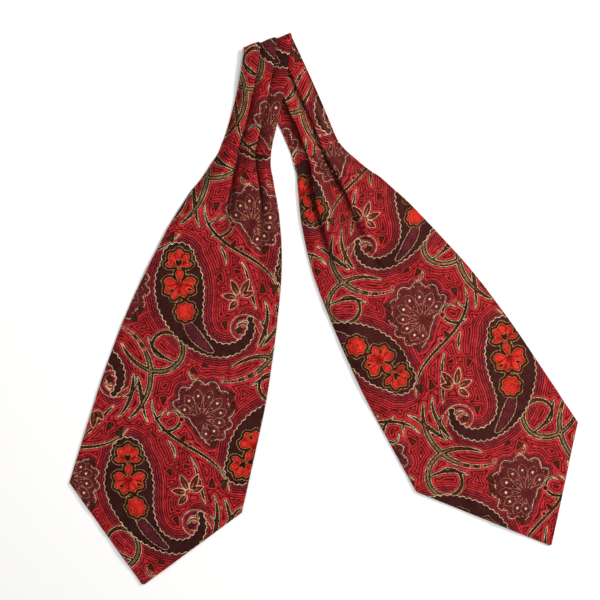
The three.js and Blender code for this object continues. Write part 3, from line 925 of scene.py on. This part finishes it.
@dataclass
class Blade:
    """One pointed blade: a face panel with the mouths of its pleats, on a back panel."""

    side: str
    lay: Lay
    silk: PaisleySilk
    roll: float = 0.45
    face_flat: tuple[float, float] = (0.169, 0.438)
    face_area: float = 0.0
    back_flat: tuple[float, float] = (0.169, 0.408)
    back_area: float = 0.0

    def edges(self, along: float, cut: Array) -> tuple[Array, Array]:
        """Outer and inner edge of the blade in plan at a row of its cut."""
        outer = self.lay.plan(along * self.lay.outer_shoulder / SHOULDER, -cut[0])
        inner = self.lay.plan(along * self.lay.inner_shoulder / SHOULDER, cut[1])
        return outer, inner

    def nape(self) -> tuple[Array, Array]:
        """Outer and inner end of the line of the fold at the nape, in plan."""
        tilt = math.radians(NAPE_TILT)
        ahead = np.array([math.cos(tilt), math.sin(tilt)])
        middle = np.array(NAPE) - NAPE_RADIUS * np.array([-ahead[1], ahead[0]])
        return middle - self.lay.hand * NAPE_HALF * ahead, middle + self.lay.hand * NAPE_HALF * ahead

    def ease_joint(self, away: float) -> tuple[Array, Array]:
        """Shift that rounds the corner of the two edges where band and blade meet.

        Args:
            away: distance from the joint.

        Returns:
            Shift of the outer and of the inner edge in plan.
        """
        shifts = []
        for side, size in enumerate(JOINT_ROUNDING):
            corner = self.edges(0.0, BLADE_CUT[0, 1:])[side]
            below = self.edges(size, read_table(BLADE_CUT, np.array([size]))[0])[side] - corner
            above = self.nape()[side] - corner
            above *= size / np.linalg.norm(above)
            shifts.append((below + above) / 4 * max(0.0, 1 - away / size) ** 2)
        return shifts[0], shifts[1]

    def tip(self) -> tuple[Array, Array]:
        """Both sides of the blunt tip in plan."""
        return (self.lay.plan(self.lay.tip_along, self.lay.tip_inward - TIP_HALF),
                self.lay.plan(self.lay.tip_along, self.lay.tip_inward + TIP_HALF))

    def stations(self, start: float, rows: int,
                 point_rows: int) -> list[tuple[Array, Array, Array, float, float]]:
        """Sections of the blade from a start to the tip.

        Args:
            start: distance along the blade.
            rows: sections to the shoulders.
            point_rows: sections of the point.

        Returns:
            Outer edge, inner edge, row of the cut, distance along, and distance to the tip.
        """
        found = []
        along = np.linspace(start, SHOULDER, rows)
        for at, cut in zip(along, read_table(BLADE_CUT, along)):
            edges = [edge + shift for edge, shift in zip(self.edges(at, cut), self.ease_joint(at))]
            found.append((*edges, cut, at, 99.0))
        shoulder, tip = self.edges(SHOULDER, BLADE_CUT[-1, 1:]), self.tip()
        length = float(np.linalg.norm(np.mean(tip, axis=0) - np.mean(shoulder, axis=0)))
        left = np.concatenate([np.linspace(length, EDGE_ROLL, point_rows - 3)[1:], EDGE_STEPS[::-1]])
        for gap in left:
            share = 1 - gap / length
            found.append((shoulder[0] + share * (tip[0] - shoulder[0]),
                          shoulder[1] + share * (tip[1] - shoulder[1]),
                          BLADE_CUT[-1, 1:], SHOULDER + length - gap, gap))
        return found

    def build_face(self, finish: bpy.types.Material) -> bpy.types.Object:
        """Build the face panel.

        Args:
            finish: material.

        Returns:
            The piece.
        """
        piece = ClothPiece(f"{self.side}_blade_face", "face_silk", self.silk)
        for outer, inner, cut, at, gap in self.stations(0.0, FACE_ROWS, POINT_ROWS):
            width = float(np.linalg.norm(inner - outer))
            section = Section(width, *cut[3:7], opened=float(ease(np.array((at - 24) / 100))))
            line, cloth = section.line()
            across = cloth - cloth[-1] / 2 + (cut[1] - cut[0]) / 2 * min(1.0, width / 160)
            plan = outer + line[:, :1] * (inner - outer) / width
            along = self.lay.along(plan)
            roll = np.maximum(edge_roll(cloth) * float(ease(np.array(at / 30))),
                              np.clip(1 - gap / EDGE_ROLL, 0, 1) ** 2)
            height = SILK / 2 + cut[2] + line[:, 1] + self.lay.relief(along, across) - self.roll * roll
            height -= 0.3 * edge_seam(cloth) * float(ease(np.array(at / 40)))
            swing, gather = self.lay.drift(along)
            piece.add(np.column_stack([plan, height]), across + swing, along + gather)
        made = piece.build(self.lay.hand < 0, self.lay.flower, finish)
        return made

    def build_back(self, finish: bpy.types.Material) -> bpy.types.Object:
        """Build the back panel, which lies on the table.

        Args:
            finish: material.

        Returns:
            The piece.
        """
        piece = ClothPiece(f"{self.side}_blade_back", "back_silk", self.silk)
        for outer, inner, cut, at, gap in self.stations(BACK_START, 180, 56):
            width = float(np.linalg.norm(inner - outer))
            line, cloth = Section(width, 0.5, 0.8, 0.0, 14, opened=1.0).line()
            across = cloth - cloth[-1] / 2 + (cut[1] - cut[0]) / 2 * min(1.0, width / 160)
            plan = outer + line[:, :1] * (inner - outer) / width
            along = self.lay.along(plan)
            roll = np.maximum(edge_roll(cloth), np.clip(1 - gap / EDGE_ROLL, 0, 1) ** 2)
            height = SILK / 2 + 0.2 * roll + np.maximum(0.12 * self.lay.relief(along, across), 0)
            piece.add(np.column_stack([plan, height]), across, along)
        flower = (self.lay.flower[0] + 64.0, self.lay.flower[1] + 38.0)
        made = piece.build(self.lay.hand < 0, flower, finish)
        return made


@dataclass
class Neckband:
    """One stretch of the pleated neckband, from its blade to the fold at the nape."""

    blade: Blade
    lifts: Array
    turned: bool
    flat: tuple[float, float]

    def section(self, width: float, share: float, edge: float) -> tuple[Array, Array]:
        """Section of the band; its pleats are pressed flatter towards the nape.

        Args:
            width: width of the band.
            share: way from the blade to the nape.
            edge: rise of the inner strip.

        Returns:
            Places across and height, and the length of cloth at each.
        """
        first, second, rise, turn = BLADE_CUT[0, 4:8]
        pressed = rise * (1 - 0.5 * float(ease(np.array((share - 0.35) / 0.65))))
        return Section(width, first, second, pressed, turn, edge).line()

    def build(self, finish: bpy.types.Material) -> bpy.types.Object:
        """Build the stretch of the band.

        Args:
            finish: material.

        Returns:
            The piece.
        """
        lay = self.blade.lay
        piece = ClothPiece(f"{self.blade.side}_neckband", "band_silk", self.blade.silk)
        joint = self.blade.edges(0.0, BLADE_CUT[0, 1:])
        inwards = (joint[1] - joint[0]) / np.linalg.norm(joint[1] - joint[0])
        ends = self.blade.nape()
        length = float(np.linalg.norm(ends[1] - joint[1]))
        shares = np.linspace(0, 1, BAND_ROWS)
        middle = (BLADE_CUT[0, 2] - BLADE_CUT[0, 1]) / 2
        reach = 0.0
        for share, (outer_lift, inner_lift, edge) in zip(shares, read_table(self.lifts, shares)):
            bow = 4 * lay.bow * share * (1 - share) * inwards
            shifts = self.blade.ease_joint(share * length)
            outer, inner = (a + share * (b - a) + bow + shift for a, b, shift in zip(joint, ends, shifts))
            width = float(np.linalg.norm(inner - outer))
            line, cloth = self.section(width, share, edge)
            across = cloth - cloth[-1] / 2 + middle
            plan = outer + line[:, :1] * (inner - outer) / width
            along = lay.along(plan)
            reach = along
            lean = outer_lift + (inner_lift - outer_lift) * line[:, 0] / width
            height = SILK / 2 + np.maximum(lean + line[:, 1] + lay.relief(along, across), 0)
            piece.add(np.column_stack([plan, height]), across, along)
        if self.turned:
            self.add_turn(piece, ends, middle, reach)
        made = piece.build(lay.hand > 0, lay.band_flower, finish)
        return made

    def add_turn(self, piece: ClothPiece, ends: tuple[Array, Array], middle: float, reach: Array) -> None:
        """Carry the cloth on over the fold until it lies face down.

        Args:
            piece: cloth so far.
            ends: ends of the line of the fold.
            middle: shift of the middle of the cloth.
            reach: distance along at the start of the fold.
        """
        tilt = math.radians(NAPE_TILT)
        out = np.array([-math.sin(tilt), math.cos(tilt)])
        width = float(np.linalg.norm(ends[1] - ends[0]))
        line, cloth = self.section(width, 1.0, 1.0)
        across = cloth - cloth[-1] / 2 + middle
        spread = ends[0] + line[:, :1] * (ends[1] - ends[0]) / width
        away = NAPE_INNER_RADIUS + SILK / 2 + line[:, 1]
        for angle in np.linspace(0, math.pi, TURN_ROWS)[1:]:
            plan = spread + math.sin(angle) * (away[:, None] + NAPE_RADIUS - away.max() - SILK / 2) * out
            height = NAPE_RADIUS + math.cos(angle) * away
            piece.add(np.column_stack([plan, height]), across, reach - angle * 3.0)


class Studio:
    """Pale floor, soft light and the camera over the cravat."""

    CAMERA = (-0.0223, 0.0082, 1.374)
    LENS = 85.0
    # Lights: place, size in metres, power in watts
    LIGHTS = (((1.15, 0.82, 0.86), 0.5, 29.0), ((0.42, -0.04, 1.45), 0.4, 7.0), ((-1.1, 0.3, 1.2), 0.9, 7.0),
              ((0.0, -1.35, 1.3), 1.0, 4.0))

    def build(self) -> None:
        """Set up floor, lights, world and camera."""
        scene = bpy.context.scene
        scene.view_settings.view_transform = "Standard"
        shell = bmesh.new()
        bmesh.ops.create_grid(shell, x_segments=1, y_segments=1, size=3.0)
        bmesh.ops.translate(shell, verts=shell.verts, vec=(0, 0, -0.0003))
        mesh = bpy.data.meshes.new("floor")
        shell.to_mesh(mesh)
        shell.free()
        floor = bpy.data.objects.new("floor", mesh)
        scene.collection.objects.link(floor)
        paper = bpy.data.materials.new("white_paper")
        paper.use_nodes = True
        shader = paper.node_tree.nodes["Principled BSDF"]
        shader.inputs["Base Color"].default_value = linear("#F6F5F3")
        shader.inputs["Roughness"].default_value = 0.9
        mesh.materials.append(paper)
        for index, (place, size, power) in enumerate(self.LIGHTS):
            lamp = bpy.data.lights.new(f"softbox_{index}", "AREA")
            lamp.size, lamp.energy = size, power
            light = bpy.data.objects.new(lamp.name, lamp)
            light.location = place
            light.rotation_euler = self.aim(place)
            scene.collection.objects.link(light)
        world = scene.world or bpy.data.worlds.new("studio")
        scene.world = world
        world.use_nodes = True
        back = world.node_tree.nodes.get("Background") or add_node(world.node_tree, "ShaderNodeBackground")
        back.inputs[0].default_value = linear("#FFFFFF")
        back.inputs[1].default_value = 0.2
        lens = bpy.data.cameras.new("camera")
        lens.lens, lens.sensor_width = self.LENS, 36.0
        camera = bpy.data.objects.new("camera", lens)
        camera.location = self.CAMERA
        scene.collection.objects.link(camera)
        scene.camera = camera

    @staticmethod
    def aim(place: tuple[float, float, float]) -> tuple[float, float, float]:
        """Turn of a lamp that looks at the middle of the cravat."""
        x, y, z = place
        return math.atan2(math.hypot(x, y), z), 0.0, math.atan2(y, x) + math.pi / 2


LEFT = Lay(1, (-76.1, 153.7), 14.4, 2.7, 354.5, 341.0, 432.3, 9.4, (-27.0, 140.0), (-20.0, 48.0), 0.0, 0.0, (
    Crease((4, 74), (-17, -40), 6, 2.0), Crease((2, 98), (2, 15), 7, 1.7),
    Crease((6, 84), (26, 48), 5, 1.9), Crease((80, 246), (-46, -22), 24, 2.4),
    Crease((112, 310), (44, 24), 27, 2.0), Crease((244, 400), (-54, -8), 22, 1.6),
    Crease((36, 128), (-32, -54), 9, 1.7), Crease((28, 156), (38, 66), 8, 1.6),
    Crease((300, 424), (34, 12), 18, 1.2), Crease((130, 250), (-2, 8), 13, 1.0)))
RIGHT = Lay(-1, (-5.4, 151.3), 30.6, -1.0, 353.5, 332.0, 442.5, -0.9, (-57.0, 69.0), (6.0, 62.0),
            19.0, 15.0, (
    Crease((3, 80), (-14, -42), 6, 2.1), Crease((8, 128), (13, 34), 8, 2.2),
    Crease((6, 74), (-4, 6), 6, 1.6), Crease((58, 206), (-30, -54), 17, 2.6),
    Crease((90, 270), (54, 64), 15, 2.2), Crease((200, 372), (-22, 26), 26, 2.0),
    Crease((20, 108), (30, 56), 7, 2.0), Crease((284, 428), (-38, -6), 20, 1.4),
    Crease((140, 250), (-60, -66), 10, 1.4), Crease((120, 236), (8, 20), 14, 1.1)))


def main() -> None:
    """Build the cravat and its setting."""
    logging.basicConfig(level=logging.INFO, format="%(name)s %(message)s")
    Studio().build()
    silk = PaisleySilk()
    finish = Jacquard().dress()
    left = Blade("left", LEFT, silk, face_area=0.0536, back_area=0.0512)
    right = Blade("right", RIGHT, silk, face_area=0.0541, back_area=0.0518)
    for blade in (left, right):
        blade.build_face(finish)
        blade.build_back(finish)
    Neckband(left, UPPER_BAND_LIFT, True, (0.070, 0.122)).build(finish)
    Neckband(right, LOWER_BAND_LIFT, False, (0.070, 0.118)).build(finish)


if __name__ == "__main__":
    main()
